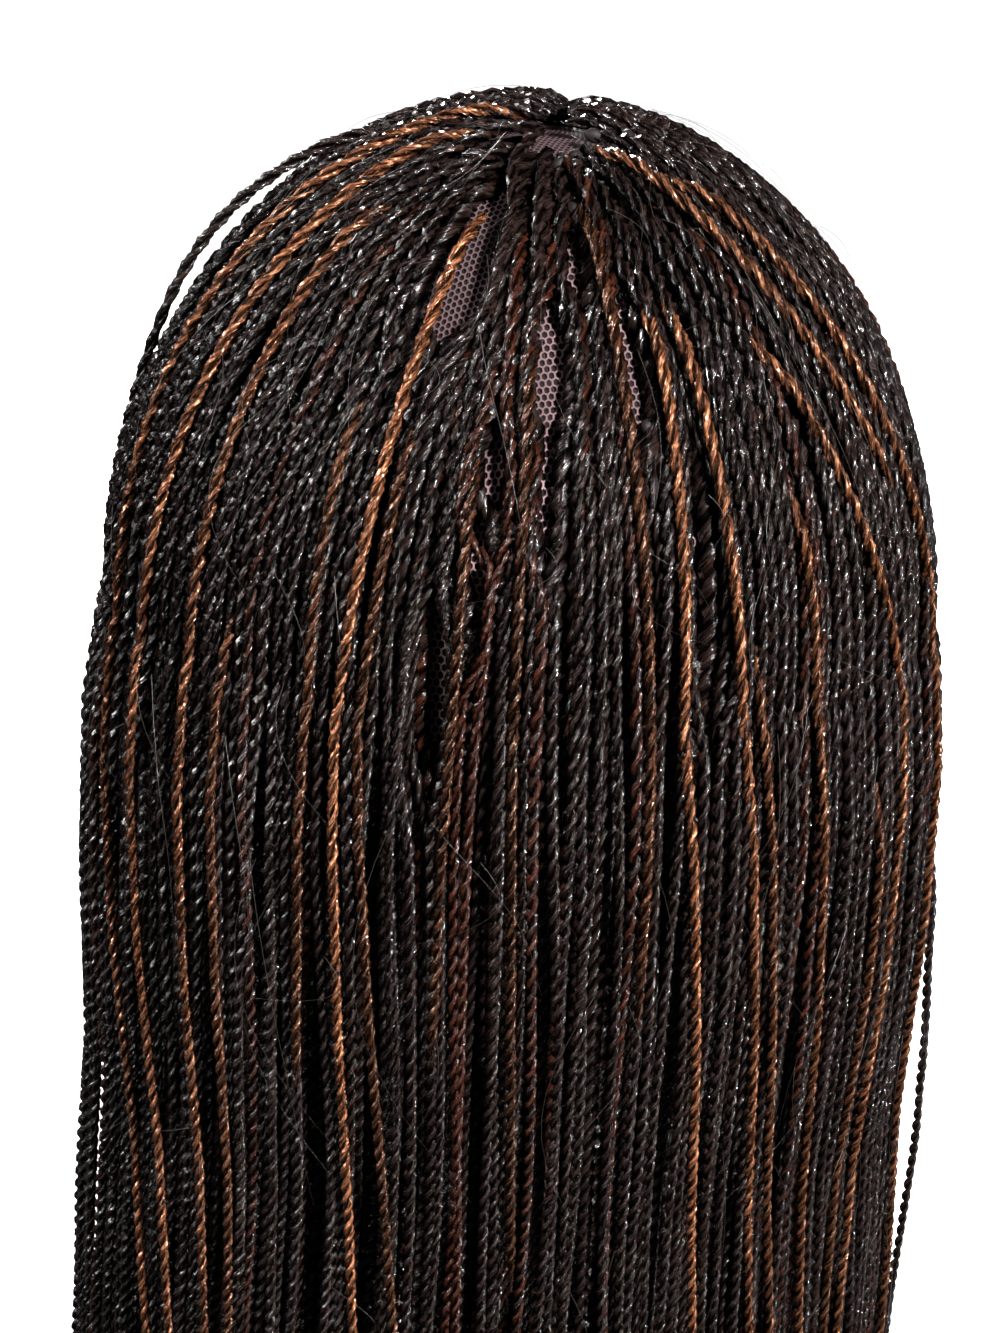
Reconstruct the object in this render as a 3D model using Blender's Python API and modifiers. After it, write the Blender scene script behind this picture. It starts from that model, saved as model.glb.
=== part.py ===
"""Braid wig: a net cap under locks of two-strand braids that fan out from a crown whorl.

Metres, +Z up. The wig faces -Y and the back of the head is at +Y. The origin is the inside of
the cap's crown, where the top of a head bears. A turn is the angle round the head from the
middle of the back, towards +X. A course is how far along its run a braid is: 0 at its root,
1 where it leaves the head and starts to hang, 2 at its tip.
"""

import math
from collections import namedtuple

import bmesh
import bpy
from mathutils import Vector

Dome = namedtuple("Dome", "half_width half_length depth crown")
Drape = namedtuple("Drape", "height spread")
Strand = namedtuple("Strand", "name finish root_turn drape_turn tip_turn start end lift lift_at")

# Net cap: the inside is the head's own size, and the rim runs from forehead to nape
CAP_INSIDE = Dome(half_width=0.0765, half_length=0.0960, depth=0.0950, crown=0.0)
CAP_WALL = 0.0012
CAP_FOREHEAD_Z = -0.052
CAP_NAPE_Z = -0.166
CAP_NECK_PINCH = 9.0
CAP_SPOKES = 36
CAP_HOOPS = 9

# Hair round the cap: the under side clears the net, the top side is the photographed outline
HAIR_UNDER = Dome(half_width=0.0795, half_length=0.0990, depth=0.0975, crown=0.0027)
HAIR_OVER = Dome(half_width=0.0958, half_length=0.1055, depth=0.1163, crown=0.0078)
HAIR_END_Z = -0.315
UNDER_END_WIDTH = 0.0860
UNDER_END_LENGTH = 0.0955
DRAPES = (
    Drape(height=-0.100, spread=1.000),
    Drape(height=-0.135, spread=1.045),
    Drape(height=-0.175, spread=1.050),
    Drape(height=-0.220, spread=1.030),
    Drape(height=-0.260, spread=1.045),
    Drape(height=-0.340, spread=1.050),
)

# Seam that the roots lie along: half a ring round the whorl, then both sides of the parting
WHORL_X = -0.0010
WHORL_Y = 0.0170
WHORL_RADIUS = 0.0080
PARTING_FRONT_X = -0.0090
PARTING_FRONT_Y = -0.0830
PARTING_HALF_WIDTH = 0.0025
PARTING_CLOSES = 0.4
FAN_TURN = math.radians(75)
LAST_TURN = math.radians(140)

# Locks: strips of braids lying side by side
LOCK_COUNT = 24
LOCK_GAP = 0.0005
LOCK_RIBS = 4
RIB_HEIGHT = 0.0012
UNDER_POINTS = 3
OVER_STEPS = 7
HANG_STEPS = 5
END_RAGGEDNESS = 0.004
END_WAVE = 2.4

# Single braids that lie on the locks, their turns in degrees; a loose one lifts off by its lift
BRAID_RADIUS = 0.0017
BRAID_TIP_SCALE = 0.68
BRAID_SIDES = 6
BRAID_GAP = 0.0004
LIFT_REACH = 0.18
SHORTEST_SPAN = 0.02
STRANDS = (
    Strand("copper_braid_01", "copper", 78, 66, 42, 0.02, 1.98, 0, 0),
    Strand("copper_braid_02", "copper", 58, 57, 38.5, 0.10, 1.95, 0, 0),
    Strand("copper_braid_03", "copper", 46, 46, 33, 0.30, 1.97, 0, 0),
    Strand("copper_braid_04", "copper", 39, 39.5, 30, 0.90, 1.95, 0, 0),
    Strand("copper_braid_05", "copper", 27, 26, 22, 0.60, 1.40, 0, 0),
    Strand("copper_braid_06", "copper", 16, 22, 12, 0.28, 1.98, 0, 0),
    Strand("copper_braid_07", "copper", 13, 19, 6, 0.60, 1.96, 0, 0),
    Strand("copper_braid_08", "copper", 8, 7.5, 7, 0.65, 1.35, 0, 0),
    Strand("copper_braid_09", "copper", 1, 0, -6, 0.50, 1.60, 0, 0),
    Strand("copper_braid_10", "copper", -10, -17, -17, 0.25, 1.30, 0, 0),
    Strand("copper_braid_11", "copper", -21, -21, -31, 0.42, 1.98, 0, 0),
    Strand("copper_braid_12", "copper", -22, -29.5, -39, 0.42, 1.96, 0, 0),
    Strand("copper_braid_13", "copper", -30, -32, -43, 0.90, 1.94, 0, 0),
    Strand("copper_braid_14", "copper", -36, -41, -47, 0.70, 1.97, 0, 0),
    Strand("copper_braid_15", "copper", -22, -60, -52, 0.50, 1.95, 0, 0),
    Strand("copper_braid_16", "copper", -32, -72, -72, 0.10, 0.75, 0, 0),
    Strand("copper_braid_17", "copper", -46, -75, -72, 0.20, 1.97, 0, 0),
    Strand("copper_braid_18", "copper", -50, -55, -49, 1.10, 1.96, 0, 0),
    Strand("loose_braid_upper", "black", 86, 90, 86, 0.25, 1.00, 0.0040, 0.53),
    Strand("loose_braid_lower", "black", -80.2, -80.2, -80.2, 1.20, 1.90, 0.0040, 1.55),
)

FINISHES = {
    "black": ((0.012, 0.010, 0.010), 0.38),
    "copper": ((0.42, 0.13, 0.035), 0.36),
    "net": ((0.17, 0.09, 0.085), 0.85),
}


def clear_scene():
    """Remove whatever the file opened with."""
    for thing in list(bpy.data.objects):
        bpy.data.objects.remove(thing, do_unlink=True)


def make_collection(name):
    """A collection in the scene that holds the wig's pieces."""
    collection = bpy.data.collections.new(name)
    bpy.context.scene.collection.children.link(collection)
    return collection


def make_material(name, colour, roughness):
    """A Principled material of one colour."""
    material = bpy.data.materials.new(name)
    material.use_nodes = True
    shader = material.node_tree.nodes["Principled BSDF"]
    shader.inputs["Base Color"].default_value = (*colour, 1.0)
    shader.inputs["Roughness"].default_value = roughness
    shader.inputs["Metallic"].default_value = 0.0
    return material


def mix(first, second, share):
    """The value at a share of the way from first to second."""
    return first + (second - first) * share


def grown(dome, by):
    """The dome offset outwards."""
    return Dome(*(size + by for size in dome))


def seam_point(turn):
    """Plan position of the root of the braid that hangs at this turn."""
    if abs(turn) <= FAN_TURN:
        angle = turn / FAN_TURN * math.pi / 2
        return (WHORL_X + WHORL_RADIUS * math.sin(angle),
                WHORL_Y + WHORL_RADIUS * math.cos(angle))
    forward = (abs(turn) - FAN_TURN) / (LAST_TURN - FAN_TURN)
    middle = mix(WHORL_X, PARTING_FRONT_X, math.sqrt(forward))
    aside = mix(WHORL_RADIUS, PARTING_HALF_WIDTH, min(1.0, forward / PARTING_CLOSES))
    return (middle + math.copysign(aside, turn), mix(WHORL_Y, PARTING_FRONT_Y, forward))


def point_over_dome(dome, turn, share):
    """Point of a braid on the dome, straight in plan from its root to where it hangs."""
    root_x, root_y = seam_point(turn)
    start = Vector((root_x / dome.half_width, root_y / dome.half_length))
    end = Vector((math.sin(turn), math.cos(turn)))
    place = start.lerp(end, math.sin(share * math.pi / 2))
    height = dome.crown - dome.depth * (1 - math.sqrt(max(0.0, 1 - place.length_squared)))
    return Vector((place.x * dome.half_width, place.y * dome.half_length, height))


def spread_at(height):
    """How far the hanging hair spreads at this height, as a share of the dome's rim."""
    if height >= DRAPES[0].height:
        return DRAPES[0].spread
    for upper, lower in zip(DRAPES, DRAPES[1:]):
        if height >= lower.height:
            share = (upper.height - height) / (upper.height - lower.height)
            return mix(upper.spread, lower.spread, share)
    return DRAPES[-1].spread


def over_point(turn, course, end_z, lift=0.0):
    """Point on the outer face of the hair."""
    dome = grown(HAIR_OVER, lift)
    if course <= 1:
        return point_over_dome(dome, turn, course)
    height = mix(dome.crown - dome.depth, end_z, course - 1)
    spread = spread_at(height)
    return Vector((dome.half_width * spread * math.sin(turn),
                   dome.half_length * spread * math.cos(turn), height))


def under_point(turn, course, end_z):
    """Point on the inner face of the hair."""
    dome = HAIR_UNDER
    if course <= 1:
        return point_over_dome(dome, turn, course)
    share = course - 1
    height = mix(dome.crown - dome.depth, end_z, share)
    width = mix(dome.half_width, UNDER_END_WIDTH, share)
    length = mix(dome.half_length, UNDER_END_LENGTH, share)
    return Vector((width * math.sin(turn), length * math.cos(turn), height))


def braid_courses():
    """The stations that locks and single braids share."""
    over = [step / OVER_STEPS for step in range(OVER_STEPS)]
    hang = [1 + step / HANG_STEPS for step in range(HANG_STEPS + 1)]
    return over + hang


def inset_turns(first, last, course, end_z):
    """The lock's two edge turns, drawn in so that neighbours keep their gap."""
    turns = []
    for face in (over_point, under_point):
        width = (face(last, course, end_z) - face(first, course, end_z)).length
        inset = LOCK_GAP / 2 / width
        turns.append((mix(first, last, inset), mix(last, first, inset)))
    return turns


def lock_section(first, last, course, end_z):
    """One ring of points: ribs along the outer face, then back along the inner face."""
    over_edges, under_edges = inset_turns(first, last, course, end_z)
    ring = []
    for step in range(2 * LOCK_RIBS + 1):
        lift = RIB_HEIGHT * (step % 2)
        turn = mix(*over_edges, step / (2 * LOCK_RIBS))
        ring.append(over_point(turn, course, end_z, lift))
    for step in range(UNDER_POINTS):
        turn = mix(*reversed(under_edges), step / (UNDER_POINTS - 1))
        ring.append(under_point(turn, course, end_z))
    return ring


def loft(rings):
    """A closed mesh through rings of points. Both edge walls split from the outer face's upper
    corner to the inner face's lower one, so that neighbouring walls match."""
    mesh = bmesh.new()
    rows = [[mesh.verts.new(point) for point in ring] for ring in rings]
    size = len(rows[0])
    for upper, lower in zip(rows, rows[1:]):
        for step in range(size - 1):
            after = step + 1
            mesh.faces.new((upper[step], upper[after], lower[after]))
            mesh.faces.new((upper[step], lower[after], lower[step]))
        mesh.faces.new((upper[0], lower[0], lower[-1]))
        mesh.faces.new((upper[0], lower[-1], upper[-1]))
    mesh.faces.new(rows[0])
    mesh.faces.new(rows[-1])
    bmesh.ops.recalc_face_normals(mesh, faces=mesh.faces)
    return mesh


def add_mesh_object(name, mesh, material, collection):
    """An object in the collection from a finished bmesh."""
    data = bpy.data.meshes.new(name)
    mesh.to_mesh(data)
    mesh.free()
    data.materials.append(material)
    thing = bpy.data.objects.new(name, data)
    collection.objects.link(thing)
    return thing


def cap_point(spoke_angle, share):
    """Point on the cap's inner face, from the crown to the rim below this angle."""
    dome = CAP_INSIDE
    rim_z = mix(CAP_FOREHEAD_Z, CAP_NAPE_Z, (1 + math.cos(spoke_angle)) / 2)
    lowest = dome.crown - dome.depth
    if rim_z >= lowest:
        arc, skirt = math.acos(1 + rim_z / dome.depth), 0.0
    else:
        arc, skirt = math.pi / 2, lowest - rim_z
    travel = share * (arc + skirt / dome.depth)
    drop = max(0.0, travel - arc) * dome.depth
    bend = min(travel, arc)
    reach = math.sin(bend) - CAP_NECK_PINCH * drop * drop
    height = dome.crown - dome.depth * (1 - math.cos(bend)) - drop
    return Vector((dome.half_width * reach * math.sin(spoke_angle),
                   dome.half_length * reach * math.cos(spoke_angle), height))


def build_cap(material, collection):
    """The net cap: an open dome given its wall by Solidify."""
    mesh = bmesh.new()
    crown = mesh.verts.new((0, 0, CAP_INSIDE.crown))
    hoops = []
    for hoop in range(1, CAP_HOOPS + 1):
        angles = (math.tau * spoke / CAP_SPOKES for spoke in range(CAP_SPOKES))
        hoops.append([mesh.verts.new(cap_point(angle, hoop / CAP_HOOPS)) for angle in angles])
    for spoke in range(CAP_SPOKES):
        after = (spoke + 1) % CAP_SPOKES
        mesh.faces.new((crown, hoops[0][spoke], hoops[0][after]))
        for upper, lower in zip(hoops, hoops[1:]):
            mesh.faces.new((upper[spoke], lower[spoke], lower[after], upper[after]))
    bmesh.ops.recalc_face_normals(mesh, faces=mesh.faces)
    cap = add_mesh_object("net_cap", mesh, material, collection)
    wall = cap.modifiers.new("wall", "SOLIDIFY")
    wall.thickness = CAP_WALL
    wall.offset = 1.0
    wall.use_even_offset = True


def build_locks(material, collection):
    """The locks, side by side round the head from one temple to the other."""
    width = 2 * LAST_TURN / LOCK_COUNT
    for number in range(LOCK_COUNT):
        first = -LAST_TURN + number * width
        end_z = HAIR_END_Z + END_RAGGEDNESS * math.sin(END_WAVE * number)
        rings = [lock_section(first, first + width, course, end_z) for course in braid_courses()]
        add_mesh_object(f"braid_lock_{number + 1:02d}", loft(rings), material, collection)


def strand_turn(strand, course):
    """The strand's turn at a course, from its turns at root, drape and tip."""
    if course <= 1:
        return math.radians(mix(strand.root_turn, strand.drape_turn, course))
    return math.radians(mix(strand.drape_turn, strand.tip_turn, course - 1))


def strand_thickness(course):
    """A braid's radius at a course, as a share of its radius at the root."""
    return mix(1.0, BRAID_TIP_SCALE, course / 2)


def strand_lift(strand, course):
    """How far the strand's middle stands off the locks' valleys."""
    stand_off = strand.lift * math.exp(-((course - strand.lift_at) / LIFT_REACH) ** 2)
    flat_radius = BRAID_RADIUS * strand_thickness(course) * math.cos(math.pi / BRAID_SIDES)
    return RIB_HEIGHT + BRAID_GAP + flat_radius + stand_off


def build_strand(strand, material, collection):
    """One braid as a round tube that thins towards its tip."""
    first, last = strand.start + SHORTEST_SPAN, strand.end - SHORTEST_SPAN
    between = [course for course in braid_courses() if first < course < last]
    stations = [strand.start, *between, strand.end]
    curve = bpy.data.curves.new(strand.name, "CURVE")
    curve.dimensions = "3D"
    curve.bevel_depth = BRAID_RADIUS
    curve.bevel_resolution = BRAID_SIDES // 2 - 2
    curve.use_fill_caps = True
    curve.resolution_u = 1
    curve.render_resolution_u = 0
    line = curve.splines.new("POLY")
    line.points.add(len(stations) - 1)
    for point, course in zip(line.points, stations):
        lift = strand_lift(strand, course)
        place = over_point(strand_turn(strand, course), course, HAIR_END_Z, lift)
        point.co = (*place, 1.0)
        point.radius = strand_thickness(course)
    curve.materials.append(material)
    thing = bpy.data.objects.new(strand.name, curve)
    collection.objects.link(thing)


def main():
    """Build the wig."""
    clear_scene()
    collection = make_collection("braid_wig")
    materials = {name: make_material(name, *look) for name, look in FINISHES.items()}
    build_cap(materials["net"], collection)
    build_locks(materials["black"], collection)
    for strand in STRANDS:
        build_strand(strand, materials[strand.finish], collection)


main()
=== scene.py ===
"""Braid wig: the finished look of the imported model, laid out as a Blender add-on.

Metres, +Z up. The wig faces -Y and its back is at +Y. A turn is the angle round the head from
the middle of the back, towards +X. A course is how far along its run a braid is: 0 at the seam
of the crown, 1 where it leaves the head and starts to hang, 2 at its tip.
"""

import math
from collections import namedtuple

import bmesh
import bpy
import numpy as np
from bpy.props import FloatProperty, FloatVectorProperty, IntProperty, PointerProperty
from mathutils import Matrix, Vector


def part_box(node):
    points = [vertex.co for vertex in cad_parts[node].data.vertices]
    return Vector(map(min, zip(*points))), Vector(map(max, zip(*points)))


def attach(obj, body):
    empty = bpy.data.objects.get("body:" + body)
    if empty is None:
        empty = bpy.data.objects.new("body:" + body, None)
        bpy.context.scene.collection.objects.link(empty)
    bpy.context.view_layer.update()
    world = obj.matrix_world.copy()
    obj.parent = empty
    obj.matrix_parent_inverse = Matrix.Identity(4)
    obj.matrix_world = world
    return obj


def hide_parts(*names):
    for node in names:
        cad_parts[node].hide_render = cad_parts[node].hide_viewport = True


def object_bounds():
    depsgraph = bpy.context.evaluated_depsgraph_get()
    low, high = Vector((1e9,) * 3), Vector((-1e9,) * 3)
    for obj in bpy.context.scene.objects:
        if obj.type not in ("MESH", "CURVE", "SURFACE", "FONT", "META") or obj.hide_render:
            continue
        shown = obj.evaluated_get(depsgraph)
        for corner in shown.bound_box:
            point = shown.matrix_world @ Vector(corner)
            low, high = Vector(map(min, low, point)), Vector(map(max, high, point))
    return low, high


bl_info = {
    "name": "Braid wig",
    "version": (1, 0, 0),
    "blender": (4, 5, 0),
    "location": "3D View > Sidebar > Wig",
    "description": "Builds a wig of two-strand braids hooked into a net cap",
    "category": "Object",
}

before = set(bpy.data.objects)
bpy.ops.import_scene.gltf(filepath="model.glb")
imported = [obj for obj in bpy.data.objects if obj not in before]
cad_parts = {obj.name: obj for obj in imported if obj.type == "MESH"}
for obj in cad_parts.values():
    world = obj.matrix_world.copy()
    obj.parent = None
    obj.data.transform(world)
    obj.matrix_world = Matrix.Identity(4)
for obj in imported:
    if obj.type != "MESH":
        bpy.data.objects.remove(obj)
CAD_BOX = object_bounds()

Dome = namedtuple("Dome", "half_width half_length depth crown")
Drape = namedtuple("Drape", "height spread")
Strand = namedtuple("Strand", "node root_turn drape_turn tip_turn start end lift lift_at glow")
Bare = namedtuple("Bare", "turn first last half_turn")
Layer = namedtuple("Layer", "depth per_lock rings sides girth loose waist shift spacing")
Grain = namedtuple("Grain", "across along detail")
Lamp = namedtuple("Lamp", "name place size power")
Finish = namedtuple("Finish", "colour roughness specular")

CAP_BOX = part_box("net_cap")
LOCKS = sorted(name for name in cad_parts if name.startswith("braid_lock_"))

# The cap and the two faces of the hair, as the model has them
CAP_WALL = 0.0012
CAP_INNER_DEPTH = 0.0950
CAP_OUTSIDE = Dome(
    half_width=CAP_BOX[1][0],
    half_length=CAP_BOX[1][1],
    depth=CAP_INNER_DEPTH + CAP_WALL,
    crown=CAP_BOX[1][2],
)
CAP_FOREHEAD_Z = -0.052
CAP_NAPE_Z = CAP_BOX[0][2]
CAP_NECK_PINCH = 9.0
# Painted light: the net thread is made paler below the first height, fully so at the second,
# by the factor that follows
NET_PAINTED_LIGHT_FROM_Z = -0.045
NET_PAINTED_LIGHT_FULL_Z = -0.075
NET_PAINTED_LIGHT = 2.4
# Painted shade: a near-black shell under the net, seen through its holes
SHADE_SHELL_OUTER = 0.0005
SHADE_SHELL_SPOKES = 72
SHADE_SHELL_HOOPS = 24
RIM_RADIUS = 0.0010
NET_LIMIT = math.radians(150)
COVERED_FROM = math.radians(80)
COVERED_TO = math.radians(130)
COVERED_BEND = math.radians(25)
HAIR_UNDER = Dome(half_width=0.0795, half_length=0.0990, depth=0.0975, crown=0.0027)
HAIR_OVER = Dome(half_width=0.0958, half_length=0.1055, depth=0.1163, crown=0.0078)
UNDER_END_WIDTH = 0.0860
UNDER_END_LENGTH = 0.0955
RIB_HEIGHT = 0.0012
HAIR_END_Z = -0.315
DRAPES = (
    Drape(height=-0.100, spread=1.000),
    Drape(height=-0.135, spread=1.045),
    Drape(height=-0.175, spread=1.050),
    Drape(height=-0.220, spread=1.030),
    Drape(height=-0.260, spread=1.045),
    Drape(height=-0.340, spread=1.050),
)

# The seam that the first roots lie along
WHORL_X = -0.0010
WHORL_Y = 0.0170
WHORL_RADIUS = 0.0024
PARTING_FRONT_X = -0.0090
PARTING_FRONT_Y = -0.0830
PARTING_HALF_WIDTH = 0.0004
PARTING_CLOSES = 0.2
FAN_TURN = math.radians(75)
LAST_TURN = math.radians(140)

# Single braids, as the model has them, their turns in degrees
COPPER_STRANDS = (
    Strand("copper_braid_01", 78, 66, 42, 0.02, 1.98, 0, 0, 0.8),
    Strand("copper_braid_02", 58, 57, 38.5, 0.10, 1.95, 0, 0, 0.75),
    Strand("copper_braid_03", 46, 46, 33, 0.30, 1.97, 0, 0, 0.5),
    Strand("copper_braid_04", 39, 39.5, 30, 0.90, 1.95, 0, 0, 0.3),
    Strand("copper_braid_05", 27, 26, 22, 0.60, 1.40, 0, 0, 0.25),
    Strand("copper_braid_06", 16, 22, 12, 0.28, 1.98, 0, 0, 1),
    Strand("copper_braid_07", 13, 19, 6, 0.60, 1.96, 0, 0, 0.18),
    Strand("copper_braid_08", 8, 7.5, 7, 0.65, 1.35, 0, 0, 0.15),
    Strand("copper_braid_09", 1, 0, -6, 0.50, 1.60, 0, 0, 0.1),
    Strand("copper_braid_10", -10, -17, -17, 0.25, 1.30, 0, 0, 0.2),
    Strand("copper_braid_11", -21, -21, -31, 0.42, 1.98, 0, 0, 0.9),
    Strand("copper_braid_12", -22, -29.5, -39, 0.42, 1.96, 0, 0, 0.75),
    Strand("copper_braid_13", -30, -32, -43, 0.90, 1.94, 0, 0, 0.35),
    Strand("copper_braid_14", -36, -41, -47, 0.70, 1.97, 0, 0, 0.4),
    Strand("copper_braid_15", -22, -60, -52, 0.50, 1.95, 0, 0, 0.6),
    Strand("copper_braid_16", -32, -72, -72, 0.10, 0.75, 0, 0, 0.6),
    Strand("copper_braid_17", -46, -75, -72, 0.20, 1.97, 0, 0, 0.5),
    Strand("copper_braid_18", -50, -55, -49, 1.10, 1.96, 0, 0, 0.25),
)
LOOSE_STRANDS = (
    Strand("loose_braid_upper", 86, 90, 86, 0.25, 1.00, 0.0040, 0.53, 0),
    Strand("loose_braid_lower", -80.2, -80.2, -80.2, 1.20, 1.90, 0.0040, 1.55, 0),
)
LIFT_REACH = 0.18

# Places where the net shows bare between the braids, in degrees and courses. At the whorl the
# braids only start later.
BARE_NET = (
    Bare(turn=19, first=0.20, last=0.50, half_turn=9.5),
    Bare(turn=-9, first=0.30, last=0.40, half_turn=4.5),
    Bare(turn=-3, first=0.46, last=0.62, half_turn=4.4),
    Bare(turn=-18, first=0.44, last=0.64, half_turn=4.0),
    Bare(turn=5.5, first=0.66, last=0.76, half_turn=3.2),
    Bare(turn=7, first=0.80, last=0.90, half_turn=3.0),
    Bare(turn=11, first=0.88, last=1.06, half_turn=3.0),
    Bare(turn=-25.5, first=0.66, last=0.99, half_turn=3.6),
    Bare(turn=-3, first=0.70, last=0.77, half_turn=2.4),
)
WHORL_BARE = Bare(turn=-30, first=0.0, last=0.065, half_turn=20.0)

# Layers of braids in a lock, from the outside in
OUTER = Layer(depth=0.0, per_lock=6, rings=6.4, sides=6, girth=1.0, loose=1.0, waist=1.0,
              shift=0.5, spacing=1.0)
MIDDLE = Layer(depth=0.42, per_lock=6, rings=4.0, sides=4, girth=1.10, loose=0.7, waist=1.9,
               shift=0.0, spacing=1.3)
BACKING = Layer(depth=0.88, per_lock=8, rings=2.6, sides=4, girth=1.80, loose=0.0, waist=3.0,
                shift=0.5, spacing=1.2)
LAYERS = (OUTER, MIDDLE, BACKING)
SINGLE_SIDES = 8
PATH_SAMPLES = 150
SEED = 7

# Where braids are rooted, and how they rise from the net
ROOT_GRID = 61
ROOT_SPARE = 6
ROOT_ROOM = 0.66
INNER_ROOTS_LATER = (0.03, 0.12)
ROOT_RISE_BACK = 0.09
ROOT_RISE_SIDE = 0.020
ROOT_DEPTH_SIDE = 0.30
ROOT_DEPTH_SEAM = 0.45
SEAM_COURSE = 0.03
BACK_HALF_TURN = math.radians(38)
SIDE_EASES_OVER = math.radians(30)
STRAND_RISE = 0.6 * ROOT_RISE_BACK
STRAND_ROOT_DROP = 0.003
STRAND_SEAT = 0.35

# Girth and twist along a braid
ROOT_TAPER = 0.004
ROOT_THIN = 0.55
TIP_TAPER = 0.010
TIP_THIN = 0.30
GIRTH_EASES_OVER = 1.9
GIRTH_SPREAD = (0.88, 1.10)
PITCH_EASES_FROM = 0.1
PITCH_EASES_OVER = 1.5
PITCH_SPREAD = 0.18

# How braids stray from their slots
SLOT_STRAY = 0.14
TIP_STRAY = math.radians(1.6)
TIP_RAGGED = 0.03
HANG_FROM = 0.8
HANG_OVER = 0.8
CLUMP_TURN = math.radians(7.3)
CLUMP_PULL = 0.35
DRIFT = math.radians(4.5)
DRIFT_WAVE = 1.2
DRIFT_PHASE = 0.5
TURN_WANDER = math.radians(0.2)
LOOSE_WANDER = math.radians(0.6)
STRAND_WANDER = math.radians(0.3)
TURN_WAVES = (3.1, 5.3, 8.7)
STRAND_WAVES = (4.1, 6.7)
LIFT_WANDER = 0.0009
LIFT_WAVES = (4.3, 7.9)
WAVE_STRENGTH = (0.4, 1.0)
OUTER_LIFT = RIB_HEIGHT + 0.0007
UNDER_LIFT = 0.0002
UNDER_WANDER = 0.3
BARE_MARGIN = 0.07
BARE_EDGE = 1.5
BARE_ROOT_MARGIN = 0.05

# Fibres that stand off the braids
STRAY_POINTS = 12
STRAY_RADIUS = 0.000055
STRAY_COURSES = (0.05, 1.9)
STRAY_LAST_COURSE = 1.98
STRAY_LENGTH = (0.10, 0.42)
STRAY_SHORTENED = (0.3, 1.0)
STRAY_TIP_THIN = 0.3
STRAY_BEND = math.radians(14)
STRAY_BOW = math.radians(7)
STRAY_ARCH = (0.0008, 0.0045)
STRAY_ARCH_FROM = 0.15

# Fibre finish, on noise that runs from about 0.3 to 0.7
BLACK_FINE = Grain(across=4.2, along=420.0, detail=3.0)
BLACK_BROAD = Grain(across=1.5, along=40.0, detail=2.0)
COPPER_FINE = Grain(across=3.6, along=420.0, detail=3.0)
COPPER_BROAD = Grain(across=1.2, along=55.0, detail=3.0)
GRAIN_APART = 97.0
GRAIN_ROUGHNESS = 0.6
# Painted shade in the groove between the strands: colour and specular level scaled down there
GROOVE_FROM = 0.10
GROOVE_TO = 0.74
GROOVE_PAINTED_SHADE = 0.08
GROOVE_SHADE_SHEEN = 0.03
SHEEN_STOPS = ((0.46, (0.06,) * 3), (0.62, (0.95,) * 3))
ROUGHNESS_STOPS = ((0.38, (0.28,) * 3), (0.60, (0.14,) * 3))
FIBRE_RELIEF = 0.00042

# Black braids: which carry auburn, by their tone, and how much of it on each strand
AUBURN_TONE = (0.84, 0.90)
BOTH_STRANDS_TONE = (0.95, 0.97)
STRAND_BORDER = 0.3
FIRST_STRAND = 0.55
SECOND_STRAND = (0.24, 0.50)
PLAIN_BRAID = 0.13
AUBURN_STOPS = ((0.70, (0, 0, 0)), (0.95, (1, 1, 1)))
BLACK_FIBRES = (0.38, 0.66)
AUBURN_FIBRES = (0.36, 0.66)
DIM_AUBURN = 0.2

# Copper braids: where they are pale, dim, or streaked with black
COPPER_FIBRES = (0.40, 0.52, 0.62)
HALF_COPPER = 0.4
COPPER_PATCHES = (0.36, 0.62)
PATCH_DIMMED = 0.30
BRAID_DIMMED = 0.10
STREAK_STOPS = ((0.30, (1, 1, 1)), (0.40, (0, 0, 0)))
COPPER_METALLIC = 0.55

# Net thread and the plain finishes
NET_PATCH_SCALE = 55.0
NET_PATCH_DETAIL = 3.0
NET_PATCHES = (0.3, 0.7)
NET_PATCH_SHADES = (0.55, 1.35)
NET_ROUGHNESS = 0.8
NET_SPECULAR = 0.12
KNOT_SHAPE = ((0.7, 0.6, 0.9), (1.2, 1.0, 1.6))
KNOT_FINISH = Finish((0.006, 0.004, 0.0035), 0.6, 0.15)
STRAY_FINISH = Finish((0.020, 0.015, 0.013), 0.35, 0.5)
# Painted shade: the near-black finish of the shell under the net
SHADE_SHELL_FINISH = Finish((0.006, 0.004, 0.004), 0.9, 0.1)

# Camera: behind the wig and a little above it, as the photo has it
PHOTO_HEIGHT = 1333
METRES_PER_PIXEL = 0.000238
CAMERA_TARGET = Vector((0.0034, 0.0, -0.1265))
CAMERA_DISTANCE = 0.75
CAMERA_ELEVATION = math.radians(17)
CAMERA_ROLL = math.radians(3.2)
SENSOR = 36.0
CLIP_END = 50.0
FLOOR_DROP = 0.004
FLOOR_FINISH = Finish((0.60, 0.60, 0.61), 0.9, 0.5)
FLOOR_GLOW = 0.96
BACKDROP_SPOKES = 48
BACKDROP_CURVE = ((2.5, 0.0), (3.2, 0.2), (3.6, 0.7), (3.7, 3.5))
STUDIO_COLOUR = (0.95, 0.96, 1.0, 1.0)
STUDIO_STRENGTH = 0.07
LAMPS = (
    Lamp("key", (-0.33, 0.62, 0.33), 0.09, 33.0),
    Lamp("fill", (0.8, 0.9, 0.35), 0.25, 9.0),
    Lamp("top", (-0.1, 0.2, 1.1), 0.40, 1.5),
    Lamp("side", (1.2, -0.1, 0.3), 0.35, 24.0),
    Lamp("front", (0.3, -1.3, 0.4), 0.4, 70.0),
)


def length_value(name, description, default):
    """A length that a user would change."""
    return FloatProperty(name=name, description=description, default=default, unit="LENGTH")


def share_value(name, description, default):
    """A share or proportion that a user would change."""
    return FloatProperty(name=name, description=description, default=default)


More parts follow.
